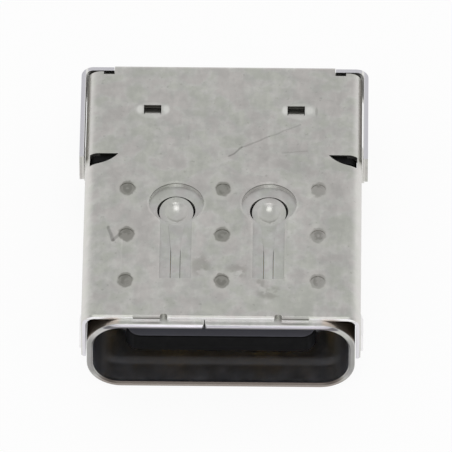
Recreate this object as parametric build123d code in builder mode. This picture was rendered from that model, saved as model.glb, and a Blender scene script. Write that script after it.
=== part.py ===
# Receptacle for a reversible 24-way plug, sunk into the edge of a circuit board
#
# Millimetres. The origin is the centre of the mouth, +Y runs back into the
# socket, +X to the right as seen from the mouth, +Z up. The shell's flat
# bottom is what the loose part rests on.

import os
from math import atan2, degrees, hypot

from build123d import *

os.makedirs("parts", exist_ok=True)

# Mouth and inner shell, a tube rolled from strip
mouth_width = 8.34
mouth_height = 2.56
mouth_radius = 0.92
inner_wall = 0.20
inner_length = 7.30
rim_chamfer = 0.06
seam_x = -0.53
seam_gap = 0.03
seam_notch_width = 0.14
seam_notch_depth = 0.11

# Spring fingers lanced from the top and bottom of the inner shell
finger_spacing = 3.04
finger_root_y = 2.00
finger_pad_y = 5.18
finger_pad_radius = 0.56
finger_neck_width = 0.60
finger_root_width = 0.30
finger_straight = 1.40
finger_neck_blend = 0.12
finger_slit = 0.015
finger_pad_gap = 0.07
finger_opening_shift = 0.05
finger_drop = 0.28
finger_rise = 0.27
finger_bend = 2.50
dome_mouth_radius = 0.38
dome_depth = 0.16

# Outer shell, one folded sheet
outer_wall = 0.15
side_gap = 0.03
outer_front_y = 0.26
board_z = -0.30
cover_bend = 0.45
front_bevel = 0.06
window_pad_y = 5.36
window_radius = 0.90
window_stem_width = 1.04
window_root_y = 2.00
window_blend = 0.30
die_roll_width = 0.07
die_roll_depth = 0.035

# Marks of tooling on the outer shell
carrier_spacing = 4.84
carrier_width = 0.88
carrier_stub_length = 0.04
carrier_notch_width = 0.24
carrier_notch_depth = 0.14
weld_columns = 3
weld_rows = 3
weld_spacing_x = 3.135
weld_spacing_y = 2.05
weld_centre_y = 3.93
weld_radius = 0.24
weld_depth = 0.02

# Relief slots beside the shoulder where the cover leaves the inner shell
slot_back_offset = 0.25
slot_length = 0.50
slot_tip_x = 3.46
slot_middle_x = 3.82
slot_middle_length = 0.33

# Lances that hook into the moulded block
lance_spacing = 4.74
lance_offset = 2.25
lance_width = 0.57
lance_length = 0.42
lance_slit = 0.02
lance_drop = 0.17
lance_pocket_depth = 0.45
lance_pocket_clearance = 0.10

# Back fold and the wings wrapped forward round the corners
fold_radius = 0.20
fold_width = 7.30
fold_slit = 0.02
fold_notch_width = 0.36
fold_notch_depth = 0.12
cover_back_gap = 0.19
wall_foot_z = 0.05
wing_gap = 0.05
wing_bend = 0.40
wing_drop = 0.16
wing_foot_z = 0.18
wing_front_offset = 0.26
wing_nose = 0.30

# Board legs
leg_front_y = 1.80
leg_back_offset = 2.05
leg_width = 0.90
leg_tip_z = -1.24
leg_kink = 0.09
leg_kink_height = 0.30
leg_tip_chamfer = 0.20

# Tongue and its moulding
tongue_tip_y = 0.57
tongue_width = 6.20
tongue_thickness = 0.70
tongue_tip_radius = 0.50
tongue_tip_chamfer = 0.04
tongue_base_length = 1.65
tongue_base_shoulder = 0.35
tongue_base_height = 1.40
tongue_base_chamfer = 0.08
flange_depth = 1.10
flange_clearance = 0.03

# Moulded blocks behind the inner shell
block_length = 3.90
block_back_clearance = 0.27
block_side_clearance = 0.02
block_lift = 0.05
block_corner_gap = 0.01
split_z = 0.10
lower_block_length = 2.30
lower_block_inset = 0.15

# Contacts, two rows cut from strip
contact_count = 12
contact_spacing = 0.50
power_step = 3
contact_width = 0.25
contact_thickness = 0.15
contact_tip_y = 0.95
signal_setback = 0.35
upper_turn_inset = 0.75
tail_length = 0.73
lower_jog_offset = 0.25
lower_jog_run = 0.30
lower_run_z = -0.075
pin_row_offset = 0.75
pin_row_spacing = 0.90
pin_tip_z = -1.24
pin_tip_chamfer = 0.05

# Plates on and in the tongue
mid_plate_thickness = 0.15
mid_plate_reach = 0.245
mid_plate_front_y = 1.20
latch_front_y = 1.90
latch_length = 1.90
latch_recess = 0.10
mid_leg_width = 0.30
mid_leg_offset = 1.20
mid_leg_bend = 0.16
ground_plate_thickness = 0.12
ground_plate_inset = 0.30
ground_plate_embed = 0.40
ground_lip_clearance = 0.08
ground_lip_bend = 0.14

# Depths behind the tube follow its length
block_back_y = inner_length + block_length
lower_block_back_y = inner_length + lower_block_length
outer_back_y = block_back_y + block_back_clearance + outer_wall
slot_back_y = inner_length + slot_back_offset
wing_front_y = inner_length + wing_front_offset
lance_y = inner_length + lance_offset
leg_back_y = inner_length + leg_back_offset
pin_row_y = inner_length + pin_row_offset
mid_leg_y = inner_length + mid_leg_offset
upper_turn_y = block_back_y - upper_turn_inset
upper_tail_y = outer_back_y + tail_length
flange_front_y = inner_length - flange_depth
lower_jog_y = flange_front_y + lower_jog_offset
ground_plate_back_y = flange_front_y + ground_plate_embed
tongue_base_y = flange_front_y - tongue_base_length

# Widths and heights that follow from those above
inner_half_width = mouth_width / 2 + inner_wall
inner_top_z = mouth_height / 2 + inner_wall
cover_top_z = inner_top_z + outer_wall
cover_half_inside = inner_half_width + side_gap
cover_half_width = cover_half_inside + outer_wall
cover_mid_z = inner_top_z + outer_wall / 2
cover_back_y = outer_back_y - outer_wall - cover_back_gap
wall_mid_y = outer_back_y - outer_wall / 2
wall_mid_x = cover_half_inside + outer_wall / 2
wing_mid_x = cover_half_width + wing_gap + outer_wall / 2
wing_top_z = cover_top_z - wing_drop
block_half_width = cover_half_inside - block_side_clearance
block_corner = cover_bend - outer_wall + block_corner_gap
block_foot_z = board_z + block_lift
tongue_half = tongue_thickness / 2
upper_contact_z = tongue_half - contact_thickness / 2
lower_contact_z = -upper_contact_z
tail_z = board_z + contact_thickness / 2
tongue_base_width = tongue_width + 2 * tongue_base_shoulder
mid_plate_width = tongue_width + 2 * mid_plate_reach
latch_width = tongue_width - 2 * latch_recess
ground_plate_width = tongue_width - 2 * ground_plate_inset
row_width = (contact_count - 1) * contact_spacing
lance_front_y = lance_y - lance_length / 2


def depth_plane(depth):
    """Upright plane across the socket, at a depth behind the mouth."""
    return Plane.XZ.offset(-depth)


def arch(half_width, top, bottom, radius):
    """Upright outline with both upper corners rounded."""
    with BuildSketch() as outline:
        with Locations((0, bottom)):
            Rectangle(2 * half_width, top - bottom, align=(Align.CENTER, Align.MIN))
        fillet(outline.vertices().group_by(Axis.Y)[-1], radius)
    return outline.sketch


def keyhole(pad_y, root_y, pad_radius, neck_width, root_width, flare_y, blend):
    """Round pad on a stem that may widen from a point on its way to the pad."""
    with BuildSketch() as outline:
        with Locations((0, pad_y)):
            Circle(pad_radius)
        with BuildLine():
            Polyline(
                (-root_width / 2, root_y),
                (root_width / 2, root_y),
                (root_width / 2, flare_y),
                (neck_width / 2, pad_y),
                (-neck_width / 2, pad_y),
                (-root_width / 2, flare_y),
                close=True,
            )
        make_face()
        pad_joints = outline.vertices().filter_by_position(
            Axis.Y, pad_y - pad_radius, pad_y, inclusive=(True, False)
        )
        fillet(pad_joints, blend)
    return outline.sketch


# Spring finger on its own, root at the origin and pad towards +Y
finger_length = finger_pad_y - finger_root_y
finger_bend_y = finger_length - finger_pad_radius
finger_tilt = degrees(atan2(finger_rise, 2 * finger_pad_radius))
dome_radius = (dome_mouth_radius**2 + dome_depth**2) / (2 * dome_depth)
dome_centre_z = dome_radius - dome_depth
finger_outline = keyhole(
    finger_length,
    0,
    finger_pad_radius,
    finger_neck_width,
    finger_root_width,
    finger_straight,
    finger_neck_blend,
)
pad_plane = Plane((0, finger_length, finger_rise / 2 - finger_drop)).rotated(
    (finger_tilt, 0, 0)
)
with BuildPart() as dome:
    with BuildSketch(Plane.XZ):
        with Locations((0, dome_centre_z)):
            Circle(dome_radius + inner_wall)
        with Locations((0, -inner_wall / 2)):
            Rectangle(
                finger_pad_radius,
                dome_depth + inner_wall,
                align=(Align.MIN, Align.MAX),
                mode=Mode.INTERSECT,
            )
    revolve(axis=Axis.Z)
with BuildPart() as finger:
    with BuildSketch(Plane.YZ):
        with BuildLine():
            FilletPolyline(
                (0, -inner_wall / 2),
                (finger_bend_y, -inner_wall / 2 - finger_drop),
                (
                    finger_length + 2 * finger_pad_radius,
                    finger_rise + finger_rise / 2 - inner_wall / 2 - finger_drop,
                ),
                radius=finger_bend,
            )
        trace(line_width=inner_wall)
    extrude(amount=finger_pad_radius, both=True)
    with BuildSketch(Plane.XY):
        add(finger_outline)
    extrude(amount=inner_top_z, both=True, mode=Mode.INTERSECT)
    with Locations(pad_plane):
        add(dome.part)
    with Locations(pad_plane.offset(dome_centre_z)):
        Sphere(dome_radius, mode=Mode.SUBTRACT)

# Inner shell: round-cornered tube with a butt seam on top and four spring fingers
finger_opening = keyhole(
    finger_pad_y - finger_opening_shift,
    finger_root_y,
    finger_pad_radius + finger_pad_gap,
    finger_neck_width + 2 * finger_slit,
    finger_root_width + 2 * finger_slit,
    finger_root_y + finger_straight,
    finger_neck_blend,
)
with BuildPart() as inner_shell:
    with BuildSketch(depth_plane(0)):
        RectangleRounded(2 * inner_half_width, 2 * inner_top_z, mouth_radius + inner_wall)
        RectangleRounded(mouth_width, mouth_height, mouth_radius, mode=Mode.SUBTRACT)
    extrude(amount=-inner_length)
    chamfer(inner_shell.edges().group_by(Axis.Y)[0], rim_chamfer)
    with BuildSketch(Plane.XY):
        with GridLocations(finger_spacing, 0, 2, 1):
            add(finger_opening)
    extrude(amount=cover_top_z, both=True, mode=Mode.SUBTRACT)
    with BuildSketch(Plane.XY):
        with Locations((seam_x, 0)):
            Rectangle(seam_gap, inner_length, align=(Align.CENTER, Align.MIN))
            Triangle(
                a=seam_notch_width,
                b=hypot(seam_notch_width / 2, seam_notch_depth),
                c=hypot(seam_notch_width / 2, seam_notch_depth),
                align=(Align.CENTER, Align.MIN),
            )
    extrude(amount=cover_top_z, mode=Mode.SUBTRACT)
    for finger_x in (-finger_spacing / 2, finger_spacing / 2):
        with Locations((finger_x, finger_root_y, inner_top_z)):
            add(finger.part)
        with Locations((finger_x, finger_root_y, -inner_top_z)):
            add(finger.part.mirror(Plane.XY))
inner_shell.part.label = "inner_shell"
export_step(inner_shell.part, "parts/inner_shell.step")

# Outer shell: cover, back wall, wings and legs folded from one sheet
cover_outside = arch(cover_half_width, cover_top_z, board_z, cover_bend)
cover_inside = arch(
    cover_half_inside, inner_top_z, board_z - outer_wall, cover_bend - outer_wall
)
window = keyhole(
    window_pad_y,
    window_root_y,
    window_radius,
    window_stem_width,
    window_stem_width,
    window_root_y + finger_straight,
    window_blend,
)
with BuildSketch() as relief_slot:
    with BuildLine():
        Line((slot_tip_x, slot_back_y), (cover_half_inside, slot_back_y))
        Line((cover_half_inside, slot_back_y), (cover_half_inside, slot_back_y - slot_length))
        ThreePointArc(
            (cover_half_inside, slot_back_y - slot_length),
            (slot_middle_x, slot_back_y - slot_middle_length),
            (slot_tip_x, slot_back_y),
        )
    make_face()
with BuildPart() as outer_shell:
    with BuildSketch(depth_plane(outer_front_y)):
        add(cover_outside)
        add(cover_inside, mode=Mode.SUBTRACT)
    extrude(amount=outer_front_y - cover_back_y)
    front_edges = outer_shell.edges().group_by(Axis.Y)[0]
    chamfer(front_edges.filter_by(Axis.X).sort_by(Axis.Z)[-1], front_bevel)
    # Keyhole windows over the spring fingers
    with BuildSketch(Plane.XY.offset(inner_top_z)):
        with GridLocations(finger_spacing, 0, 2, 1):
            add(window)
    extrude(amount=outer_wall, mode=Mode.SUBTRACT)
    chamfer(
        outer_shell.edges(Select.LAST).group_by(Axis.Z)[-1],
        die_roll_width,
        die_roll_depth,
        reference=outer_shell.faces().sort_by(Axis.Z)[-1],
    )
    # Relief slots that reach into the bend but leave the side wall whole
    with BuildSketch(Plane.XY.offset(inner_top_z - cover_bend)):
        add(relief_slot.sketch)
        add(relief_slot.sketch.mirror(Plane.YZ))
    extrude(amount=cover_bend + outer_wall, mode=Mode.SUBTRACT)
    # Spot weld marks
    with BuildSketch(Plane.XY.offset(cover_top_z)):
        with Locations((0, weld_centre_y)):
            with GridLocations(weld_spacing_x, weld_spacing_y, weld_columns, weld_rows):
                Circle(weld_radius)
    extrude(amount=-weld_depth, mode=Mode.SUBTRACT)
    # Stubs of the carrier strip, each with a notch on its inner side
    with BuildSketch(Plane.XY.offset(inner_top_z)):
        with Locations((0, outer_front_y)):
            with GridLocations(carrier_spacing, 0, 2, 1):
                Rectangle(carrier_width, 2 * carrier_stub_length)
    extrude(amount=outer_wall)
    with BuildSketch(Plane.XY.offset(inner_top_z)):
        with Locations((0, outer_front_y)):
            with GridLocations(
                carrier_spacing - carrier_width - carrier_notch_width, 0, 2, 1
            ):
                SlotOverall(2 * carrier_notch_depth, carrier_notch_width, rotation=90)
    extrude(amount=outer_wall, mode=Mode.SUBTRACT)
    # Lances, cut on three sides and pushed down from their front edge
    with BuildSketch(Plane.XY.offset(inner_top_z)):
        with Locations((0, lance_y)):
            with GridLocations(lance_spacing, 0, 2, 1):
                Rectangle(lance_width, lance_length)
    extrude(amount=outer_wall, mode=Mode.SUBTRACT)
    for lance_x in (-lance_spacing / 2, lance_spacing / 2):
        with BuildSketch(Plane.YZ.offset(lance_x)):
            with BuildLine():
                Polyline(
                    (lance_front_y, cover_top_z),
                    (lance_front_y + lance_length, cover_top_z - lance_drop),
                    (lance_front_y + lance_length, inner_top_z - lance_drop),
                    (lance_front_y, inner_top_z),
                    close=True,
                )
            make_face()
        extrude(amount=lance_width / 2 - lance_slit, both=True)
    # Notches that let the middle of the cover fold
    with BuildSketch(Plane.XY.offset(inner_top_z)):
        with Locations((0, cover_back_y)):
            with GridLocations(fold_width + fold_notch_width, 0, 2, 1):
                Rectangle(fold_notch_width, 2 * fold_notch_depth)
    extrude(amount=outer_wall, mode=Mode.SUBTRACT)
    # Back wall corners and wings, bent round both ends
    with BuildSketch(Plane.XY.offset(wing_foot_z)):
        with BuildLine():
            FilletPolyline(
                (-wing_mid_x, wing_front_y),
                (-wing_mid_x, wall_mid_y),
                (wing_mid_x, wall_mid_y),
                (wing_mid_x, wing_front_y),
                radius=wing_bend - outer_wall / 2,
            )
        trace(line_width=outer_wall)
    extrude(amount=wing_top_z - wing_foot_z)
    with Locations((0, wall_mid_y, cover_top_z)):
        Box(
            fold_width + 2 * fold_slit,
            2 * outer_wall,
            2 * fold_radius + 2 * fold_notch_depth,
            mode=Mode.SUBTRACT,
        )
    # Middle of the cover, folded down over the back
    with BuildSketch(Plane.YZ):
        with BuildLine():
            FilletPolyline(
                (cover_back_y - outer_wall, cover_mid_z),
                (wall_mid_y, cover_mid_z),
                (wall_mid_y, wall_foot_z),
                radius=fold_radius - outer_wall / 2,
            )
        trace(line_width=outer_wall)
    extrude(amount=fold_width / 2, both=True)
    # Four board legs with a slight outward kink
    for leg_y in (leg_front_y, leg_back_y):
        with BuildSketch(depth_plane(leg_y)):
            with BuildLine():
                Polyline(
                    (wall_mid_x, board_z + outer_wall),
                    (wall_mid_x, board_z),
                    (wall_mid_x + leg_kink, board_z - leg_kink_height),
                    (wall_mid_x + leg_kink, leg_tip_z),
                )
            trace(line_width=outer_wall)
            mirror(about=Plane.YZ)
        extrude(amount=leg_width / 2, both=True)
    for wing_x in (-wing_mid_x, wing_mid_x):
        across = outer_shell.edges().filter_by(Axis.X)
        lower_corner = (wing_x, wing_front_y, wing_foot_z)
        fillet(across.sort_by_distance(lower_corner)[0], wing_nose)
    leg_tips = outer_shell.edges().group_by(Axis.Z)[0].filter_by(Axis.X)
    chamfer(leg_tips, leg_tip_chamfer, leg_tip_chamfer / 2)
outer_shell.part.label = "outer_shell"
export_step(outer_shell.part, "parts/outer_shell.step")

# Contacts: both rows bent from the same strip, the outer and power ones longer
power_places = (0, power_step, contact_count - 1 - power_step, contact_count - 1)
contact_places = range(contact_count)
contact_x = [place * contact_spacing - row_width / 2 for place in contact_places]
contact_front_y = [
    contact_tip_y + (0 if place in power_places else signal_setback)
    for place in contact_places
]
upper_contacts = []
for place in contact_places:
    with BuildPart() as contact:
        with BuildSketch(Plane.YZ.offset(contact_x[place])):
            with BuildLine():
                Polyline(
                    (contact_front_y[place], upper_contact_z),
                    (upper_turn_y, upper_contact_z),
                    (upper_turn_y, tail_z),
                    (upper_tail_y, tail_z),
                )
            trace(line_width=contact_thickness)
        extrude(amount=contact_width / 2, both=True)
    contact.part.label = f"upper_contact_{place + 1:02d}"
    export_step(contact.part, f"parts/{contact.part.label}.step")
    upper_contacts.append(contact.part)

lower_contacts = []
for place in contact_places:
    pin_y = pin_row_y + (place % 2) * pin_row_spacing
    with BuildPart() as contact:
        with BuildSketch(Plane.YZ.offset(contact_x[place])):
            with BuildLine():
                Polyline(
                    (contact_front_y[place], lower_contact_z),
                    (lower_jog_y, lower_contact_z),
                    (lower_jog_y + lower_jog_run, lower_run_z),
                    (pin_y, lower_run_z),
                    (pin_y, pin_tip_z),
                )
            trace(line_width=contact_thickness)
        extrude(amount=contact_width / 2, both=True)
        pin_end = contact.edges().group_by(Axis.Z)[0].filter_by(Axis.X)
        chamfer(pin_end, pin_tip_chamfer)
    contact.part.label = f"lower_contact_{place + 1:02d}"
    export_step(contact.part, f"parts/{contact.part.label}.step")
    lower_contacts.append(contact.part)

# Mid plate: grounded sheet in the tongue, with a leg on each side
mid_leg_x = (mid_plate_width - mid_leg_width) / 2
with BuildPart() as mid_plate:
    with BuildSketch(Plane.XY.offset(-mid_plate_thickness / 2)):
        with Locations((0, mid_plate_front_y)):
            Rectangle(
                mid_plate_width,
                flange_front_y - mid_plate_front_y,
                align=(Align.CENTER, Align.MIN),
            )
        with Locations((0, latch_front_y + latch_length / 2)):
            with GridLocations(mid_plate_width, 0, 2, 1):
                Rectangle(mid_plate_width - latch_width, latch_length, mode=Mode.SUBTRACT)
    extrude(amount=mid_plate_thickness)
    front_corners = mid_plate.edges().filter_by(Axis.Z).group_by(Axis.Y)[0]
    fillet(front_corners, tongue_tip_radius / 2)
    for side in (-1, 1):
        with BuildSketch(Plane.YZ.offset(side * mid_leg_x)):
            with BuildLine():
                FilletPolyline(
                    (flange_front_y - mid_leg_width, 0),
                    (mid_leg_y, 0),
                    (mid_leg_y, leg_tip_z),
                    radius=mid_leg_bend,
                )
            trace(line_width=mid_plate_thickness)
        extrude(amount=mid_leg_width / 2, both=True)
mid_plate.part.label = "mid_plate"
export_step(mid_plate.part, "parts/mid_plate.step")

# Ground plates: thin sheets on the thick root of the tongue
base_half = tongue_base_height / 2
ground_z = base_half + ground_plate_thickness / 2
ground_lip_y = tongue_base_y - ground_plate_thickness / 2
with BuildPart() as upper_ground_plate:
    with BuildSketch(Plane.YZ):
        with BuildLine():
            FilletPolyline(
                (ground_plate_back_y, ground_z),
                (ground_lip_y, ground_z),
                (ground_lip_y, tongue_half + ground_lip_clearance),
                radius=ground_lip_bend,
            )
        trace(line_width=ground_plate_thickness)
    extrude(amount=ground_plate_width / 2, both=True)
upper_ground_plate.part.label = "upper_ground_plate"
export_step(upper_ground_plate.part, "parts/upper_ground_plate.step")
with BuildPart() as lower_ground_plate:
    add(upper_ground_plate.part.mirror(Plane.XY))
lower_ground_plate.part.label = "lower_ground_plate"
export_step(lower_ground_plate.part, "parts/lower_ground_plate.step")

# Tongue moulding: blade, thick root and the flange that closes the tube
with BuildPart() as tongue_housing:
    with BuildSketch(Plane.XY.offset(-tongue_half)):
        with Locations((0, tongue_tip_y)):
            Rectangle(
                tongue_width, inner_length - tongue_tip_y, align=(Align.CENTER, Align.MIN)
            )
        fillet(vertices().group_by(Axis.Y)[0], tongue_tip_radius)
    extrude(amount=tongue_thickness)
    tip_edges = tongue_housing.edges().group_by(Axis.Y)[0].filter_by(Axis.X)
    chamfer(tip_edges, tongue_tip_chamfer)
    with BuildSketch(Plane.XY.offset(-base_half)):
        with Locations((0, tongue_base_y)):
            Rectangle(
                tongue_base_width,
                inner_length - tongue_base_y,
                align=(Align.CENTER, Align.MIN),
            )
    extrude(amount=tongue_base_height)
    step_edges = tongue_housing.edges(Select.LAST).filter_by(Axis.X).group_by(Axis.Y)[0]
    chamfer(step_edges.group_by(Axis.Z)[0] + step_edges.group_by(Axis.Z)[-1], tongue_base_chamfer)
    with BuildSketch(depth_plane(flange_front_y)):
        RectangleRounded(
            mouth_width - 2 * flange_clearance,
            mouth_height - 2 * flange_clearance,
            mouth_radius - flange_clearance,
        )
    extrude(amount=flange_front_y - inner_length)
    add(upper_contacts + lower_contacts, mode=Mode.SUBTRACT)
    add(mid_plate.part, mode=Mode.SUBTRACT)
    add([upper_ground_plate.part, lower_ground_plate.part], mode=Mode.SUBTRACT)
tongue_housing.part.label = "tongue_housing"
export_step(tongue_housing.part, "parts/tongue_housing.step")

# Lower block: carries the lower row and the mid plate's legs
with BuildPart() as lower_block:
    with BuildSketch(Plane.XY.offset(block_foot_z)):
        with Locations((0, inner_length)):
            Rectangle(
                2 * (block_half_width - lower_block_inset),
                lower_block_back_y - inner_length,
                align=(Align.CENTER, Align.MIN),
            )
    extrude(amount=split_z - block_foot_z)
    add(lower_contacts, mode=Mode.SUBTRACT)
    add(mid_plate.part, mode=Mode.SUBTRACT)
lower_block.part.label = "lower_block"
export_step(lower_block.part, "parts/lower_block.step")

# Upper block: sits on the lower one and fills the cover behind the tube
with BuildPart() as upper_block:
    with BuildSketch(Plane.XY.offset(block_foot_z)):
        with Locations((0, inner_length)):
            Rectangle(
                2 * block_half_width,
                block_back_y - inner_length,
                align=(Align.CENTER, Align.MIN),
            )
    extrude(amount=inner_top_z - block_foot_z)
    top_sides = upper_block.edges().filter_by(Axis.Y).group_by(Axis.Z)[-1]
    fillet(top_sides, block_corner)
    with BuildSketch(Plane.XY.offset(block_foot_z)):
        with Locations((0, inner_length)):
            Rectangle(
                2 * block_half_width,
                lower_block_back_y - inner_length,
                align=(Align.CENTER, Align.MIN),
            )
    extrude(amount=split_z - block_foot_z, mode=Mode.SUBTRACT)
    with BuildSketch(Plane.XY.offset(inner_top_z)):
        with Locations((0, lance_y)):
            with GridLocations(lance_spacing, 0, 2, 1):
                Rectangle(
                    lance_width + lance_pocket_clearance,
                    lance_length + 2 * lance_pocket_clearance,
                )
    extrude(amount=-lance_pocket_depth, mode=Mode.SUBTRACT)
    add(upper_contacts, mode=Mode.SUBTRACT)
upper_block.part.label = "upper_block"
export_step(upper_block.part, "parts/upper_block.step")
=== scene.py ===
# %% [markdown]
# # A board socket for a reversible oval plug
#
# The object is a small metal connector, 9.5 mm wide and 12.35 mm deep, that is
# sunk into the edge of a circuit board. A tube rolled from stainless strip
# takes the plug. A second sheet is folded over it, and a black tongue inside
# carries two rows of contacts.
#
# The solids come from the CAD model. This script gives them their finish, and
# sets up the floor, the light and the camera.

# %% Load the model
import math

import bpy
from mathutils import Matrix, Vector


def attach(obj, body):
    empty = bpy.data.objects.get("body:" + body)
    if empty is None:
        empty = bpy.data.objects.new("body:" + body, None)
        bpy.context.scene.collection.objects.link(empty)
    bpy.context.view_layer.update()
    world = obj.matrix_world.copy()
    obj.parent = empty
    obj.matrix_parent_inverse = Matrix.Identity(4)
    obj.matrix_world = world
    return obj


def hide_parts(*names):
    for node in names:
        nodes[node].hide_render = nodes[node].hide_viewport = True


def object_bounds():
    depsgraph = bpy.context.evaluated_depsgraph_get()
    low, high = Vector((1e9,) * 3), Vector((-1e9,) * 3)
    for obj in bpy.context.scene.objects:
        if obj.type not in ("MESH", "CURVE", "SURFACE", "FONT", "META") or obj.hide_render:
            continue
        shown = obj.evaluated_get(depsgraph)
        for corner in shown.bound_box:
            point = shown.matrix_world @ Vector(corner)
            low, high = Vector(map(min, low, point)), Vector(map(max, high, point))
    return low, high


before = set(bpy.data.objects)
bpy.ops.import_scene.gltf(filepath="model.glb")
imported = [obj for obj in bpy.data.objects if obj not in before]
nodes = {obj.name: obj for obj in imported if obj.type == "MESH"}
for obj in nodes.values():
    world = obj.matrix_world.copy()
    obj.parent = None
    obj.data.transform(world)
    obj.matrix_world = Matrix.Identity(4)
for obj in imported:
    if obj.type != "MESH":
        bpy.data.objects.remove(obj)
cad_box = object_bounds()
MM = 0.001
print("nodes:", len(nodes), "box:", cad_box)

# %% [markdown]
# ## Colours and nodes
#
# A colour picked on a screen is in sRGB, while the shaders work with linear
# light, so each hex value is turned to linear in one place. A material is a
# small graph: the second helper adds one node with its settings, and links or
# sets each of its inputs, so that every material below reads as a list of steps.


# %% Two helpers for materials
def linear(hex_colour):
    """Linear RGBA of an sRGB hex colour such as "b9bab2"."""
    channels = []
    for start in (0, 2, 4):
        value = int(hex_colour[start : start + 2], 16) / 255
        if value <= 0.04045:
            channels.append(value / 12.92)
        else:
            channels.append(((value + 0.055) / 1.055) ** 2.4)
    return (*channels, 1.0)


def add_node(tree, kind, inputs=None, **settings):
    """Add a node, apply its settings, then link or set its inputs."""
    made = tree.nodes.new(kind)
    for setting, value in settings.items():
        setattr(made, setting, value)
    for socket, value in (inputs or {}).items():
        if isinstance(value, bpy.types.NodeSocket):
            tree.links.new(value, made.inputs[socket])
        else:
            made.inputs[socket].default_value = value
    return made


print("linear mid grey:", round(linear("808080")[0], 3))

# %% [markdown]
# ## A blank material
#
# Every finish here starts with one shader and with the point's own place on
# the object in millimetres. Patterns that read that place stay fixed to the
# metal, whichever side it is looked at from. A mark is then a mask, from 0
# outside it to 1 inside, and is painted over the colour below by some share.


# %% Start a material and paint over it
def blank_material(name):
    """A material with one shader, its node tree and the place in millimetres."""
    material = bpy.data.materials.new(name)
    material.use_nodes = True
    tree = material.node_tree
    shader = tree.nodes["Principled BSDF"]
    place = add_node(tree, "ShaderNodeTexCoord")
    scaled = add_node(
        tree,
        "ShaderNodeVectorMath",
        {0: place.outputs["Object"], "Scale": 1 / MM},
        operation="SCALE",
    )
    return material, tree, shader, scaled.outputs[0]


def paint_over(tree, colour, masks, share, hex_colour):
    """Lay a colour over another where all of the masks meet."""
    weight = share
    for mask in masks:
        weight = add_node(
            tree, "ShaderNodeMath", {0: mask, 1: weight}, operation="MULTIPLY"
        ).outputs[0]
    mix = add_node(
        tree,
        "ShaderNodeMix",
        {0: weight, 6: colour, 7: linear(hex_colour)},
        data_type="RGBA",
    )
    return mix.outputs[2]


# %% [markdown]
# A band is the mask used most: it is 1 where a coordinate is between two
# values and falls to 0 over a short distance outside them. With one band each
# along X, Y and Z, any edge or face of a piece can be picked by its place. So
# the marks on a piece are a table: each row names a mark, gives the ranges in
# millimetres where it is, the share of its colour, and the colour.


# %% Bands along the axes
ACROSS, DEEP, HIGH, SIDE = range(4)


def band(tree, coordinate, low, high, fade):
    """Mask of the points whose coordinate is from low to high, in mm."""
    middle = add_node(
        tree,
        "ShaderNodeMath",
        {0: coordinate, 1: (low + high) / 2},
        operation="SUBTRACT",
    )
    away = add_node(tree, "ShaderNodeMath", {0: middle.outputs[0]}, operation="ABSOLUTE")
    half = (high - low) / 2
    edge = add_node(
        tree,
        "ShaderNodeMapRange",
        {0: away.outputs[0], 1: half, 2: half + fade, 3: 1.0, 4: 0.0},
        interpolation_type="SMOOTHSTEP",
    )
    return edge.outputs[0]


def split_place(tree, place):
    """The place's X, Y and Z, and the distance from the middle plane."""
    parts = add_node(tree, "ShaderNodeSeparateXYZ", {0: place})
    side = add_node(tree, "ShaderNodeMath", {0: parts.outputs["X"]}, operation="ABSOLUTE")
    return (*parts.outputs[:3], side.outputs[0])


def meet(tree, masks):
    """One mask of the points where all of the masks meet."""
    product = masks[0]
    for mask in masks[1:]:
        product = add_node(
            tree, "ShaderNodeMath", {0: product, 1: mask}, operation="MULTIPLY"
        ).outputs[0]
    return product


def ranges_of(tree, place, ranges):
    """A band for each range, given as axis, low, high and fade."""
    parts = split_place(tree, place)
    return [band(tree, parts[axis], low, high, fade) for axis, low, high, fade in ranges]


def paint_marks(tree, place, colour, marks):
    """Paint a table of marks, one over the other."""
    for _, ranges, share, hex_colour in marks:
        colour = paint_over(tree, colour, ranges_of(tree, place, ranges), share, hex_colour)
    return colour


print("axes: across", ACROSS, "deep", DEEP, "high", HIGH, "side", SIDE)


# %% [markdown]
# ## Rolled stainless sheet
#
# Both shells are stainless strip, 0.2 and 0.15 mm thick, with the dull grey
# finish that the rolling mill leaves. To the eye it is a soft reflection with
# cloudy patches, lighter and darker, some slightly green and some slightly
# pink where oil and heat stained it, and small dark specks. The clouds and
# tints are noises of about half a millimetre, and the specks are the peaks of
# a finer one. A noise drawn out along the depth gives the faint streaks of the
# rolls. The grain of the strip is near 0.01 mm, too fine to show, so it is
# drawn at 0.06 mm.

# %% Sheet steel
CLOUD_SIZE = 0.45
SPECK_SIZE = 0.16
GRAIN_SIZE = 0.06


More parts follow.
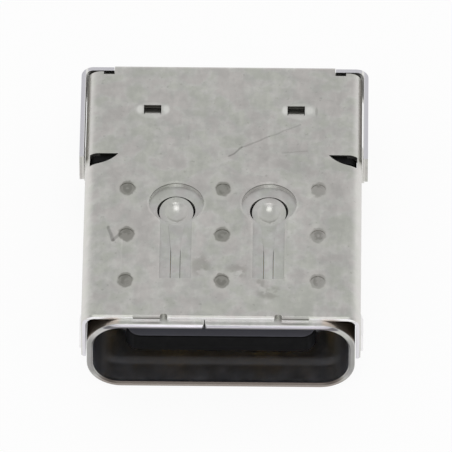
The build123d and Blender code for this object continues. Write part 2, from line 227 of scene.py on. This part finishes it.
def sheet_steel(name, dark, light, roughness):
    """Rolled stainless: clouds, tints, streaks, specks and a grain."""
    material, tree, shader, place = blank_material(name)
    clouds = add_node(
        tree,
        "ShaderNodeTexNoise",
        {"Vector": place, "Scale": 1 / CLOUD_SIZE, "Detail": 5.0, "Roughness": 0.62},
    )
    shifted = add_node(
        tree, "ShaderNodeVectorMath", {0: place, 1: (7.3, 3.1, 5.7)}, operation="ADD"
    )
    tints = add_node(
        tree,
        "ShaderNodeTexNoise",
        {"Vector": shifted.outputs[0], "Scale": 0.7 / CLOUD_SIZE, "Detail": 3.0},
    )
    specks = add_node(
        tree,
        "ShaderNodeTexNoise",
        {"Vector": shifted.outputs[0], "Scale": 1 / SPECK_SIZE, "Detail": 2.0},
    )
    grain = add_node(
        tree,
        "ShaderNodeTexNoise",
        {"Vector": place, "Scale": 1 / GRAIN_SIZE, "Detail": 2.0},
    )
    cloudy = add_node(
        tree,
        "ShaderNodeMapRange",
        {0: clouds.outputs["Fac"], 1: 0.33, 2: 0.67},
        interpolation_type="SMOOTHSTEP",
    )
    colour = add_node(
        tree,
        "ShaderNodeMix",
        {0: cloudy.outputs[0], 6: linear(dark), 7: linear(light)},
        data_type="RGBA",
    ).outputs[2]
    green = band(tree, tints.outputs["Fac"], 0.62, 0.9, 0.12)
    colour = paint_over(tree, colour, [green], 0.3, "b4b9aa")
    pink = band(tree, tints.outputs["Fac"], 0.1, 0.4, 0.12)
    colour = paint_over(tree, colour, [pink], 0.3, "bfb6b5")
    drawn_out = add_node(tree, "ShaderNodeMapping", {0: place, "Scale": (4.0, 1.4, 4.0)})
    streaks = add_node(
        tree,
        "ShaderNodeTexNoise",
        {"Vector": drawn_out.outputs[0], "Scale": 1.0, "Detail": 3.0},
    )
    darker = band(tree, streaks.outputs["Fac"], 0.1, 0.44, 0.14)
    colour = paint_over(tree, colour, [darker], 0.14, "a09f9c")
    spots = band(tree, specks.outputs["Fac"], 0.74, 0.95, 0.07)
    colour = paint_over(tree, colour, [spots], 0.22, "77756e")
    shader.inputs["Metallic"].default_value = 1.0
    uneven = add_node(
        tree,
        "ShaderNodeMapRange",
        {0: clouds.outputs["Fac"], 1: 0.3, 2: 0.7, 3: roughness - 0.04, 4: roughness + 0.05},
    )
    bump = add_node(
        tree,
        "ShaderNodeBump",
        {"Strength": 0.25, "Distance": 0.004 * MM, "Height": grain.outputs["Fac"]},
    )
    tree.links.new(uneven.outputs[0], shader.inputs["Roughness"])
    tree.links.new(bump.outputs["Normal"], shader.inputs["Normal"])
    tree.links.new(colour, shader.inputs["Base Color"])
    return material, tree, shader, place, colour


# painted shade: the plate's tip inside the mouth is painted nearly black, where the mouth
# shades it
PLATE_MARKS = (("painted shade on the plate's tip", ((DEEP, -0.1, 2.4, 0.4),), 0.95, "2b2b2d"),)

sheet_stainless, tree, shader, place, colour = sheet_steel(
    "stainless_sheet_plates", "b9b8b3", "cac9c4", 0.32
)
colour = paint_marks(tree, place, colour, PLATE_MARKS)
tree.links.new(colour, shader.inputs["Base Color"])
print("plain sheet:", len(tree.nodes), "nodes")

# %% [markdown]
# The tube is the same sheet, with its rim chamfered for the plug. The upper rim is painted
# bright, a painted highlight that gives the bright line over the mouth, with a line of painted
# shade on the chamfer below it. The rim's sides are painted darker, and the lower rim darker
# and warm, as painted shade, and its chamfer, which faces the camera, is painted darker still.
# The pads of the springs are painted lighter, a painted sheen.

# %% The tube's rim and pads
# painted highlight on the upper rim; painted shade on the upper chamfer, the rim's sides, the
# lower rim and its chamfer; painted sheen on the pads
TUBE_MARKS = (
    ("upper rim", ((DEEP, -0.1, 0.035, 0.02), (HIGH, 1.41, 1.46, 0.02)), 0.9, "e2dfe8"),
    ("upper chamfer", ((DEEP, -0.1, 0.035, 0.02), (HIGH, 1.3, 1.385, 0.02)), 0.9, "77757a"),
    ("rim's sides", ((DEEP, -0.1, 0.035, 0.02), (HIGH, -0.7, 0.7, 0.35)), 0.7, "8b8a89"),
    ("lower rim", ((DEEP, -0.1, 0.075, 0.02), (HIGH, -1.6, -1.24, 0.35)), 0.85, "8f857e"),
    ("lower chamfer", ((DEEP, 0.006, 0.06, 0.003), (HIGH, -1.6, -1.2, 0.5)), 0.85, "5f5853"),
    ("spring pads", ((SIDE, 1.12, 1.92, 0.18), (DEEP, 4.78, 5.58, 0.18)), 0.25, "dcdbd6"),
)

rolled_stainless, tree, shader, place, colour = sheet_steel(
    "rolled_stainless_strip", "bebebb", "cdcdca", 0.34
)
colour = paint_marks(tree, place, colour, TUBE_MARKS)
print("marks on the tube:", len(TUBE_MARKS))

# %% [markdown]
# The bore is painted a cooler grey than the outside, and its floor paler, as painted
# reflections. A point is in the bore when it is past the oval's straights by less than the
# radius of the corners. Outside, the corners under the cover are painted lighter and warm, as
# painted light and a painted reflection of the cover's raw inner side.

# %% The tube's bore
BORE_HALF = (4.17, 1.28)
BORE_RADIUS = 0.92
WALL_REACH = 0.02
# painted light and a painted reflection: the corners under the cover are painted lighter and
# warm
CORNER_MARKS = (
    (
        "corner under the cover",
        ((SIDE, 3.4, 5.0, 0.2), (HIGH, 0.7, 1.47, 0.1), (DEEP, 0.09, 1.2, 0.03)),
        0.9,
        "cbbfb2",
    ),
)

section = add_node(tree, "ShaderNodeVectorMath", {0: place}, operation="ABSOLUTE")
past = add_node(
    tree,
    "ShaderNodeVectorMath",
    {0: section.outputs[0], 1: (BORE_HALF[0] - BORE_RADIUS, 0.0, BORE_HALF[1] - BORE_RADIUS)},
    operation="SUBTRACT",
)
past = add_node(
    tree,
    "ShaderNodeVectorMath",
    {0: past.outputs[0], 1: (0.0, 0.0, 0.0)},
    operation="MAXIMUM",
)
spoke = add_node(
    tree, "ShaderNodeVectorMath", {0: past.outputs[0], 1: (1.0, 0.0, 1.0)}, operation="MULTIPLY"
)
spoke = add_node(tree, "ShaderNodeVectorMath", {0: spoke.outputs[0]}, operation="LENGTH")
bore = band(tree, spoke.outputs["Value"], -1.0, BORE_RADIUS + WALL_REACH, 0.01)
bore_floor = [bore, *ranges_of(tree, place, ((HIGH, -1.29, -1.0, 0.02), (SIDE, 0.0, 3.6, 0.4)))]
inside = [bore, *ranges_of(tree, place, ((DEEP, 0.1, 2.8, 0.04),))]
painted_floor_reflection = [*bore_floor, *ranges_of(tree, place, ((DEEP, 0.2, 3.0, 0.08),))]
# painted reflection: the bore is painted cooler and its floor paler
colour = paint_over(tree, colour, inside, 0.9, "b4b7c2")
colour = paint_over(tree, colour, painted_floor_reflection, 0.95, "eef0f8")
# painted light and reflection in the corners under the cover
colour = paint_marks(tree, place, colour, CORNER_MARKS)
tree.links.new(colour, shader.inputs["Base Color"])
print("bore:", 2 * BORE_HALF[0], "by", 2 * BORE_HALF[1], "mm")

# %% [markdown]
# A film of flux crosses the floor of the bore just inside the mouth. A film on
# metal hides a little of its mirror, so it is the metallic value that falls
# there: the place then scatters some light and shows as a pale band.

# %% A film in the bore
FILM_RANGE = (DEEP, 0.92, 1.08, 0.16)
FILM_METALLIC = 0.91

film = meet(tree, [*ranges_of(tree, place, (FILM_RANGE,)), *bore_floor])
shine = add_node(
    tree, "ShaderNodeMapRange", {0: film, 1: 0.0, 2: 1.0, 3: 1.0, 4: FILM_METALLIC}
)
tree.links.new(shine.outputs[0], shader.inputs["Metallic"])
print("steel for the tube:", len(tree.nodes), "nodes")

# %% [markdown]
# ## Marks on the folded cover
#
# The cover is spot welded to the tube in three rows of three. Each weld leaves
# a small darker disc in a pale halo, where the electrode pressed and heated
# the sheet. The grid is even, so a point's offset from its nearest grid
# place is enough: the place is wrapped about the grid, and its length gives
# the discs and halos. A noise makes them ragged, as burnt metal is.

# %% Weld marks
WELD_GRID = (3.135, 2.05)
WELD_CENTRE_Y = 3.93
WELD_RADIUS = 0.27
WELD_DEPTH_SHARE = 0.78
RAGGED = 0.16


def weld_distance(tree, place):
    """Distance in mm from the nearest weld, made ragged by a noise."""
    parts = add_node(tree, "ShaderNodeSeparateXYZ", {0: place})
    offsets = []
    for axis, spacing, centre, stretch in (
        ("X", WELD_GRID[0], 0.0, 1.0),
        ("Y", WELD_GRID[1], WELD_CENTRE_Y, WELD_DEPTH_SHARE),
    ):
        wrapped = add_node(
            tree,
            "ShaderNodeMath",
            {0: parts.outputs[axis], 1: centre + spacing / 2, 2: centre - spacing / 2},
            operation="WRAP",
        )
        offset = add_node(
            tree, "ShaderNodeMath", {0: wrapped.outputs[0], 1: centre}, operation="SUBTRACT"
        )
        stretched = add_node(
            tree, "ShaderNodeMath", {0: offset.outputs[0], 1: stretch}, operation="MULTIPLY"
        )
        offsets.append(stretched.outputs[0])
    flat = add_node(tree, "ShaderNodeCombineXYZ", {0: offsets[0], 1: offsets[1], 2: 0.0})
    away = add_node(tree, "ShaderNodeVectorMath", {0: flat.outputs[0]}, operation="LENGTH")
    ragged = add_node(
        tree, "ShaderNodeTexNoise", {"Vector": place, "Scale": 5.0, "Detail": 3.0}
    )
    distance = add_node(
        tree,
        "ShaderNodeMath",
        {0: ragged.outputs["Fac"], 1: RAGGED, 2: away.outputs["Value"]},
        operation="MULTIPLY_ADD",
    )
    # a noise is 0.5 on average, so half of its reach is taken off again
    centred = add_node(
        tree, "ShaderNodeMath", {0: distance.outputs[0], 1: RAGGED / 2}, operation="SUBTRACT"
    )
    return centred.outputs[0]


print("welds every", WELD_GRID[0], "and", WELD_GRID[1], "mm")


# %% [markdown]
# Scratches are drawn as the distance to a short line on the cover: the point
# is projected onto the line, the projection is held between its two ends, and
# what is left is how far away the scratch is. A smudge is simpler: it is the
# distance from its centre, in parts of its radii.


# %% Scratches and smudges
def scratch(tree, place, start, end, width):
    """How strongly a point is on a straight scratch from start to end, in mm."""
    along = (end[0] - start[0], end[1] - start[1], 0.0)
    length_squared = along[0] ** 2 + along[1] ** 2
    flat = add_node(
        tree, "ShaderNodeVectorMath", {0: place, 1: (1, 1, 0)}, operation="MULTIPLY"
    )
    offset = add_node(
        tree,
        "ShaderNodeVectorMath",
        {0: flat.outputs[0], 1: (start[0], start[1], 0.0)},
        operation="SUBTRACT",
    )
    reach = add_node(
        tree, "ShaderNodeVectorMath", {0: offset.outputs[0], 1: along}, operation="DOT_PRODUCT"
    )
    share = add_node(
        tree,
        "ShaderNodeMath",
        {0: reach.outputs["Value"], 1: length_squared},
        operation="DIVIDE",
        use_clamp=True,
    )
    nearest = add_node(
        tree, "ShaderNodeVectorMath", {0: along, "Scale": share.outputs[0]}, operation="SCALE"
    )
    away = add_node(
        tree,
        "ShaderNodeVectorMath",
        {0: offset.outputs[0], 1: nearest.outputs[0]},
        operation="DISTANCE",
    )
    return band(tree, away.outputs["Value"], -width, width / 2, width)


def smudge(tree, place, centre, radii):
    """Distance from a patch's centre, 1 at its edge; both values in mm."""
    offset = add_node(
        tree,
        "ShaderNodeVectorMath",
        {0: place, 1: (centre[0], centre[1], 0.0)},
        operation="SUBTRACT",
    )
    scaled = add_node(
        tree,
        "ShaderNodeVectorMath",
        {0: offset.outputs[0], 1: (1 / radii[0], 1 / radii[1], 0.0)},
        operation="MULTIPLY",
    )
    away = add_node(tree, "ShaderNodeVectorMath", {0: scaled.outputs[0]}, operation="LENGTH")
    return away.outputs["Value"]


print("a scratch is a mask, a smudge is a distance")


# %% [markdown]
# The cover's material is the plain sheet with its marks laid over it. First come the soft ones:
# smudges of old flux near the mouth, and round each lance a pale oval, a painted highlight,
# brightest at its ends, where the punch bent the sheet, with one painted shade in the dent
# beside the right lance.

# %% The cover's stains
TOP_Z = 1.63
TOP_RANGE = (HIGH, TOP_Z - 0.035, TOP_Z + 0.1, 0.01)
FLUX_STAINS = (
    ((-0.70, 2.56), (0.36, 0.55)),
    ((1.27, 1.78), (0.16, 0.30)),
    ((1.60, 1.35), (0.50, 0.32)),
    ((0.50, 2.30), (0.40, 0.35)),
)
# painted highlights round the lances, and one painted shade beside the right one
LANCE_HIGHLIGHT_OVALS = (((-2.38, 9.52), (0.56, 0.38)), ((2.50, 9.52), (0.58, 0.38)))
LANCE_HIGHLIGHTS_AND_SHADE = (
    ((-2.78, 9.56), (0.14, 0.24), 0.6, "f0f0ec"),
    ((-1.92, 9.56), (0.14, 0.24), 0.6, "f0f0ec"),
    ((2.00, 9.56), (0.12, 0.24), 0.6, "f0f0ec"),
    ((2.80, 9.56), (0.18, 0.22), 0.55, "f0f0ec"),
    ((3.04, 9.52), (0.06, 0.24), 0.4, "85847f"),
)

folded_stainless, tree, shader, place, colour = sheet_steel(
    "folded_stainless_sheet", "bdbdb9", "cecdc9", 0.36
)
top = ranges_of(tree, place, (TOP_RANGE,))[0]
stains = add_node(tree, "ShaderNodeTexNoise", {"Vector": place, "Scale": 2.6, "Detail": 4.0})
stained = band(tree, stains.outputs["Fac"], 0.56, 0.9, 0.12)
for centre, radii in FLUX_STAINS:
    patch = band(tree, smudge(tree, place, centre, radii), -1.0, 0.5, 0.7)
    colour = paint_over(tree, colour, [top, patch, stained], 0.45, "8f8c86")
# painted highlight: a pale oval round each lance
for centre, radii in LANCE_HIGHLIGHT_OVALS:
    oval = band(tree, smudge(tree, place, centre, radii), -1.0, 0.8, 0.3)
    colour = paint_over(tree, colour, [top, oval], 0.35, "dfdfdb")
# painted highlights at the lances' ends and a painted shade in the dent
for centre, radii, share, tone in LANCE_HIGHLIGHTS_AND_SHADE:
    mark = band(tree, smudge(tree, place, centre, radii), -1.0, 0.4, 0.7)
    colour = paint_over(tree, colour, [top, mark], share, tone)
print("stains and ovals:", len(FLUX_STAINS) + len(LANCE_HIGHLIGHT_OVALS) + len(LANCE_HIGHLIGHTS_AND_SHADE))

# %% [markdown]
# Each weld is a disc with a stained core in a pale halo. The discs are painted fainter towards
# the right.

# %% The cover's welds
WELD_ROWS = (DEEP, 1.2, 6.6, 0.1)
FAINTER_RIGHT = (ACROSS, -9.0, 1.0, 5.0)

distance = weld_distance(tree, place)
grid, weaker_right = ranges_of(tree, place, (WELD_ROWS, FAINTER_RIGHT))
halo = band(tree, distance, WELD_RADIUS, WELD_RADIUS + 0.07, 0.12)
colour = paint_over(tree, colour, [top, grid, halo], 0.4, "cccbc5")
disc = band(tree, distance, -1.0, WELD_RADIUS - 0.05, 0.07)
colour = paint_over(tree, colour, [top, grid, disc, weaker_right], 0.75, "87867f")
core = band(tree, distance, 0.07, 0.13, 0.05)
colour = paint_over(tree, colour, [top, grid, core, stained], 0.4, "6b6a64")
print("weld disc:", WELD_RADIUS, "mm in radius")

# %% [markdown]
# The long scratch crosses the back half in three parts, each fainter, and a
# short tick is on the left. A noise moves their points a little, so that
# neither is ruler straight.

# %% The cover's scratches
WAVER = 0.14
SCRATCHES = (
    ((0.19, 7.47), (0.62, 7.87), 0.035, 0.42),
    ((0.62, 7.87), (1.51, 8.37), 0.03, 0.27),
    ((1.51, 8.37), (2.51, 8.91), 0.03, 0.2),
    ((-3.74, 4.22), (-3.56, 3.62), 0.055, 0.42),
    ((-3.56, 3.62), (-3.34, 3.95), 0.055, 0.35),
    ((1.95, 7.62), (2.72, 7.74), 0.03, 0.15),
)

waver = add_node(tree, "ShaderNodeTexNoise", {"Vector": place, "Scale": 2.2, "Detail": 4.0})
wavered = add_node(
    tree,
    "ShaderNodeVectorMath",
    {0: waver.outputs["Color"], 1: (WAVER, WAVER, 0.0), 2: place},
    operation="MULTIPLY_ADD",
)
unmoved = add_node(
    tree,
    "ShaderNodeVectorMath",
    {0: wavered.outputs[0], 1: (WAVER / 2, WAVER / 2, 0.0)},
    operation="SUBTRACT",
)
for start, end, width, depth in SCRATCHES:
    mark = scratch(tree, unmoved.outputs[0], start, end, width)
    colour = paint_over(tree, colour, [top, mark], depth, "55544f")
print("scratches:", len(SCRATCHES))

# %% [markdown]
# Round the windows the cut is sheared, and its wall is painted pale, as painted light, with a
# dark line painted along it as painted shade. At the small punches behind them the cut is torn,
# and its wall is painted dark, partly the torn steel's own dullness and partly painted shade in
# the holes. The bends, the front edge, the front of the sides and the front legs are painted
# near white, as painted highlights, and the slits in the fold are painted dark, as painted
# shade. The cover's corners over the mouth are painted lighter and warm inside, as painted
# light and a painted reflection, and the upper edges of the wings and the back are painted
# lighter and cool, as painted highlights.

# %% The cover's edges and bends
CUT = (HIGH, 1.484, 1.588, 0.006)
CUT_SIDE = (SIDE, 0.0, 4.05, 0.02)
WINDOWS = (DEEP, 1.8, 6.5, 0.02)
UPPER_EDGE = (HIGH, 1.455, 1.475, 0.005)
COVER_MARKS = (
    # painted highlight on the bends
    ("bends", ((SIDE, 4.5, 4.65, 0.3), (SIDE, 0.0, 4.66, 0.005)), 0.5, "ebe9e5"),
    # the torn walls' own dullness, and painted shade in the holes
    ("torn walls", (CUT, CUT_SIDE, (DEEP, 6.6, 11.2, 0.02)), 0.8, "45443f"),
    # painted light on the walls round the windows
    ("sheared walls", (CUT, CUT_SIDE, WINDOWS), 0.85, "e6e6e3"),
    # painted shade: a dark line along the window walls
    ("painted shade line", (CUT, CUT_SIDE, WINDOWS, (HIGH, 1.555, 1.59, 0.008)), 0.7, "6b6a66"),
    # painted highlight on the front of the sides
    ("front sides", ((DEEP, 0.0, 0.275, 0.01), (HIGH, -1.3, 1.42, 0.03)), 0.85, "e6e4ea"),
    # painted highlight on the front edge
    ("front edge", ((DEEP, 0.0, 0.265, 0.005), (HIGH, 1.47, 1.575, 0.01)), 0.9, "fdfcfe"),
    # painted shade in the slits of the fold
    (
        "slits in the fold",
        ((DEEP, 0.0, 0.235, 0.01), (SIDE, 1.98, 2.86, 0.02), (HIGH, 1.55, 1.612, 0.01)),
        0.75,
        "5b5a56",
    ),
    # painted highlight on the front legs
    (
        "front legs",
        ((SIDE, 4.57, 4.9, 0.01), (HIGH, -1.3, -0.1, 0.05), (DEEP, 0.0, 3.0, 0.01)),
        0.9,
        "f8f7f8",
    ),
    # painted light and a painted reflection: the corners over the mouth are painted lighter and
    # warm
    (
        "corners over the mouth",
        ((SIDE, 3.4, 4.405, 0.01), (HIGH, 0.5, 1.479, 0.004), (DEEP, 0.3, 1.5, 0.02)),
        0.9,
        "d2c8bd",
    ),
    # painted highlights on the upper edges of the wings and the back
    ("wing edges", (UPPER_EDGE, (SIDE, 4.59, 9.0, 0.01)), 0.85, "d6d5dc"),
    ("back edge", (UPPER_EDGE, (DEEP, 11.45, 12.0, 0.01)), 0.85, "d6d5dc"),
)

colour = paint_marks(tree, place, colour, COVER_MARKS)
print("marks on the cover:", len(COVER_MARKS))

# %% [markdown]
# The narrow gaps behind the wings are painted pale, as painted light in their shade. The
# metallic value falls there too, further than in the bore, so that the pale colour scatters
# light.

# %% Painted light behind the wings
GAP_METALLIC = 0.2
GAP_RANGES = ((SIDE, 4.54, 4.61, 0.004), (DEEP, 7.72, 12.4, 0.06), (HIGH, 0.4, 1.5, 0.12))

painted_gap_light = ranges_of(tree, place, GAP_RANGES)
# painted light: the gaps behind the wings are painted pale
colour = paint_over(tree, colour, painted_gap_light, 0.9, "f2f1ee")
shine = add_node(
    tree,
    "ShaderNodeMapRange",
    {0: meet(tree, painted_gap_light), 1: 0.0, 2: 1.0, 3: 1.0, 4: GAP_METALLIC},
)
tree.links.new(shine.outputs[0], shader.inputs["Metallic"])
tree.links.new(colour, shader.inputs["Base Color"])
print("steel for the cover:", len(tree.nodes), "nodes")

# %% [markdown]
# ## Black moulding
#
# The tongue and the blocks are injection moulded in a glass-filled liquid
# crystal polymer, which is near black and dull, with a faint flow pattern.
# The flow is drawn as a noise stretched along the direction of filling. The top of the tongue's
# tip is painted a dull dark grey, as painted light, while its front and the plate's tip are
# painted nearly black, as painted shade.

# %% Moulded polymer
MOULDING_MARKS = (
    # painted light on the top of the tongue's tip
    ("lighter top of the tip", ((HIGH, 0.347, 0.37, 0.002), (DEEP, 0.0, 0.95, 0.1)), 0.9, "7c7c84"),
    # painted shade on the tongue's front
    ("front", ((HIGH, -0.4, 0.343, 0.003), (DEEP, 0.0, 0.62, 0.02)), 0.9, "040405"),
)

black_moulding, tree, shader, place = blank_material("black_moulded_polymer")
stretched = add_node(tree, "ShaderNodeMapping", {0: place, "Scale": (3.0, 0.7, 3.0)})
flow = add_node(
    tree,
    "ShaderNodeTexNoise",
    {"Vector": stretched.outputs[0], "Scale": 1.2, "Detail": 5.0},
)
grit = add_node(tree, "ShaderNodeTexNoise", {"Vector": place, "Scale": 14.0, "Detail": 2.0})
streaks = add_node(tree, "ShaderNodeMapRange", {0: flow.outputs["Fac"], 1: 0.35, 2: 0.7})
colour = add_node(
    tree,
    "ShaderNodeMix",
    {0: streaks.outputs[0], 6: linear("121213"), 7: linear("1b1b1d")},
    data_type="RGBA",
).outputs[2]
colour = paint_marks(tree, place, colour, MOULDING_MARKS)
dullness = add_node(
    tree, "ShaderNodeMapRange", {0: flow.outputs["Fac"], 1: 0.3, 2: 0.7, 3: 0.6, 4: 0.72}
)
bump = add_node(
    tree,
    "ShaderNodeBump",
    {"Strength": 0.3, "Distance": 0.006 * MM, "Height": grit.outputs["Fac"]},
)
tree.links.new(colour, shader.inputs["Base Color"])
shader.inputs["Specular IOR Level"].default_value = 0.12
tree.links.new(dullness.outputs[0], shader.inputs["Roughness"])
tree.links.new(bump.outputs["Normal"], shader.inputs["Normal"])
print("moulding:", len(tree.nodes), "nodes")

# %% [markdown]
# ## Plated contacts
#
# The contacts are copper alloy strip: gold over nickel where the plug wipes
# them, and tin on the tails and pins that are soldered. One material does
# both, because the change is only a matter of how far back a point is.

# %% Gold and tin plating
TINNED = (DEEP, 7.3, 20.0, 0.4)

gold_contact, tree, shader, place = blank_material("gold_and_tin_plated_strip")
wipe = add_node(tree, "ShaderNodeTexNoise", {"Vector": place, "Scale": 5.0, "Detail": 3.0})
worn = add_node(tree, "ShaderNodeMapRange", {0: wipe.outputs["Fac"], 1: 0.4, 2: 0.75})
gold = add_node(
    tree,
    "ShaderNodeMix",
    {0: worn.outputs[0], 6: linear("e3bf6c"), 7: linear("cfa653")},
    data_type="RGBA",
)
colour = paint_marks(tree, place, gold.outputs[2], (("tin", (TINNED,), 1.0, "c6c5c1"),))
gloss = add_node(
    tree, "ShaderNodeMapRange", {0: wipe.outputs["Fac"], 1: 0.3, 2: 0.7, 3: 0.24, 4: 0.36}
)
shader.inputs["Metallic"].default_value = 1.0
tree.links.new(colour, shader.inputs["Base Color"])
tree.links.new(gloss.outputs[0], shader.inputs["Roughness"])
print("plating:", len(tree.nodes), "nodes")

# %% [markdown]
# ## Finish the nodes
#
# Every solid from the CAD model gets the finish of its real material. All that
# the table doesn't name are contacts.

# %% Give each node its finish
finishes = {
    "inner_shell": rolled_stainless,
    "outer_shell": folded_stainless,
    "tongue_housing": black_moulding,
    "upper_block": black_moulding,
    "lower_block": black_moulding,
    "mid_plate": sheet_stainless,
    "upper_ground_plate": sheet_stainless,
    "lower_ground_plate": sheet_stainless,
}
for name, solid in nodes.items():
    solid.data.materials.clear()
    solid.data.materials.append(finishes.get(name, gold_contact))
print("finished nodes:", len(nodes))

# %% [markdown]
# ## Smooth shells
#
# A CAD mesh is loose flat triangles, so its bends would look faceted. A copy
# has its matching points merged, the flat triangles joined, and its real
# edges kept sharp while the bends are shaded smooth. Its points stay where
# they were, so its form is that of the solid that it stands for. A last narrow
# bevel gives the sheared edges the small radius that catches light. A bevel may
# push a point past a sharp corner, so every point is held in the solid's box.

# %% Merge and smooth a copy
EDGE_RADIUS = 0.015
MERGE_DISTANCE = 0.0001
FLAT_ANGLE = math.radians(0.4)
SHARP_ANGLE = math.radians(40)


def smooth_copy(name):
    """Merged copy of a shell with bevelled edges and smooth bends."""
    bpy.ops.object.select_all(action="DESELECT")
    solid = nodes[name]
    bpy.context.view_layer.objects.active = solid
    solid.select_set(True)
    bpy.ops.object.duplicate()
    piece = bpy.context.active_object
    piece.name = f"{name}_finish"
    bpy.ops.object.mode_set(mode="EDIT")
    bpy.ops.mesh.select_all(action="SELECT")
    bpy.ops.mesh.remove_doubles(threshold=MERGE_DISTANCE * MM)
    bpy.ops.mesh.dissolve_limited(angle_limit=FLAT_ANGLE)
    bpy.ops.object.mode_set(mode="OBJECT")
    bpy.ops.object.shade_smooth_by_angle(angle=SHARP_ANGLE)
    bevel = piece.modifiers.new("edge_radius", "BEVEL")
    bevel.width = EDGE_RADIUS * MM
    bevel.segments = 2
    bevel.limit_method = "ANGLE"
    bevel.angle_limit = SHARP_ANGLE
    bevel.harden_normals = True
    bpy.ops.object.modifier_apply(modifier=bevel.name)
    for axis in range(3):
        low = min(corner[axis] for corner in solid.bound_box)
        high = max(corner[axis] for corner in solid.bound_box)
        for point in piece.data.vertices:
            point.co[axis] = min(max(point.co[axis], low), high)
    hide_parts(name)
    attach(piece, "root")
    print(piece.name, "faces:", len(piece.data.polygons))


smooth_copy("inner_shell")
smooth_copy("outer_shell")

# %% [markdown]
# ## Floor
#
# The socket lies on its tube, on a white floor. The floor adds some white of
# its own for the camera and for reflections, so that it reads as paper white
# and the steel reflects it, while the rest of it is plain diffuse white that
# keeps the soft shadow.

# %% White floor
FLOOR_SIZE = 3.0
GLOW_SHARE = 0.92

bpy.ops.object.select_all(action="DESELECT")
bpy.ops.mesh.primitive_plane_add(size=FLOOR_SIZE, location=(0, 0, cad_box[0][2]))
floor = bpy.context.active_object
floor.name = "floor"
paper = bpy.data.materials.new("white_paper")
paper.use_nodes = True
tree = paper.node_tree
tree.nodes.remove(tree.nodes["Principled BSDF"])
white = add_node(tree, "ShaderNodeBsdfDiffuse", {"Color": linear("f4f4f4")})
glow = add_node(tree, "ShaderNodeEmission", {"Color": linear("ffffff"), "Strength": 1.0})
rays = add_node(tree, "ShaderNodeLightPath")
seen = add_node(
    tree,
    "ShaderNodeMath",
    {0: rays.outputs["Is Camera Ray"], 1: rays.outputs["Is Glossy Ray"]},
    operation="MAXIMUM",
)
seen = add_node(
    tree,
    "ShaderNodeMath",
    {0: seen.outputs[0], 1: rays.outputs["Is Transmission Ray"]},
    operation="MAXIMUM",
)
share = add_node(
    tree, "ShaderNodeMath", {0: seen.outputs[0], 1: GLOW_SHARE}, operation="MULTIPLY"
)
mixed = add_node(
    tree,
    "ShaderNodeMixShader",
    {0: share.outputs[0], 1: white.outputs[0], 2: glow.outputs[0]},
)
tree.links.new(mixed.outputs[0], tree.nodes["Material Output"].inputs["Surface"])
floor.data.materials.append(paper)
print("floor at", round(cad_box[0][2] / MM, 3), "mm")

# %% [markdown]
# ## Light
#
# Metal shows what is round it, so the room matters more than the lamps. It is
# white near the horizon and a little darker overhead, and darker again in
# front, where whoever holds the camera stands. One soft lamp over the front
# lights the hollows of the two springs and reaches a little into the mouth.

# %% Room and lamp
CAMERA_DIRECTION = (0.0, -0.76, 0.65)
LAMP_PLACE = (0.0, -0.2, 0.29)
LAMP_TILT = math.radians(35)

world = bpy.data.worlds.new("pale_room")
bpy.context.scene.world = world
world.use_nodes = True
tree = world.node_tree
direction = add_node(tree, "ShaderNodeTexCoord")
parts = add_node(tree, "ShaderNodeSeparateXYZ", {0: direction.outputs["Generated"]})
level = add_node(
    tree,
    "ShaderNodeMapRange",
    {0: parts.outputs["Z"], 1: 0.1, 2: 0.9, 3: 1.0, 4: 0.72},
    interpolation_type="SMOOTHSTEP",
)
toward_camera = add_node(
    tree,
    "ShaderNodeVectorMath",
    {0: direction.outputs["Generated"], 1: CAMERA_DIRECTION},
    operation="DOT_PRODUCT",
)
dimmed = add_node(
    tree,
    "ShaderNodeMapRange",
    {0: toward_camera.outputs["Value"], 1: 0.7, 2: 0.97, 3: 1.0, 4: 0.45},
    interpolation_type="SMOOTHSTEP",
)
strength = add_node(
    tree, "ShaderNodeMath", {0: level.outputs[0], 1: dimmed.outputs[0]}, operation="MULTIPLY"
)
background = tree.nodes["Background"]
background.inputs["Color"].default_value = linear("ffffff")
tree.links.new(strength.outputs[0], background.inputs["Strength"])

bpy.ops.object.light_add(type="AREA", location=LAMP_PLACE)
lamp = bpy.context.active_object
lamp.name = "soft_lamp"
lamp.data.size = 0.22
lamp.data.energy = 0.25
lamp.rotation_euler = (LAMP_TILT, 0.0, 0.0)
print("lamp power:", lamp.data.energy)

# %% [markdown]
# ## Camera
#
# The photograph was taken from well above the front, 46.9 degrees up and under
# a degree to the right, with a lens so long that nothing shrinks with depth.
# The camera stands 0.4 m off and frames 14.87 mm across.

# %% Long lens from above the front
DISTANCE = 0.4
FRAME_WIDTH = 14.87 * MM
ELEVATION = math.radians(46.9)
TURN = math.radians(0.72)
TARGET = (0.099 * MM, 5.84 * MM, 0.0)

bpy.ops.object.camera_add(
    location=(
        TARGET[0] + DISTANCE * math.cos(ELEVATION) * math.sin(TURN),
        TARGET[1] - DISTANCE * math.cos(ELEVATION) * math.cos(TURN),
        TARGET[2] + DISTANCE * math.sin(ELEVATION),
    ),
    rotation=(math.pi / 2 - ELEVATION, 0.0, TURN),
)
camera = bpy.context.active_object
camera.name = "photo_camera"
camera.data.sensor_width = 36.0
camera.data.lens = camera.data.sensor_width * DISTANCE / FRAME_WIDTH
camera.data.clip_start = 0.01
bpy.context.scene.camera = camera
bpy.context.scene.view_settings.view_transform = "Standard"
print("lens:", round(camera.data.lens, 1), "mm")
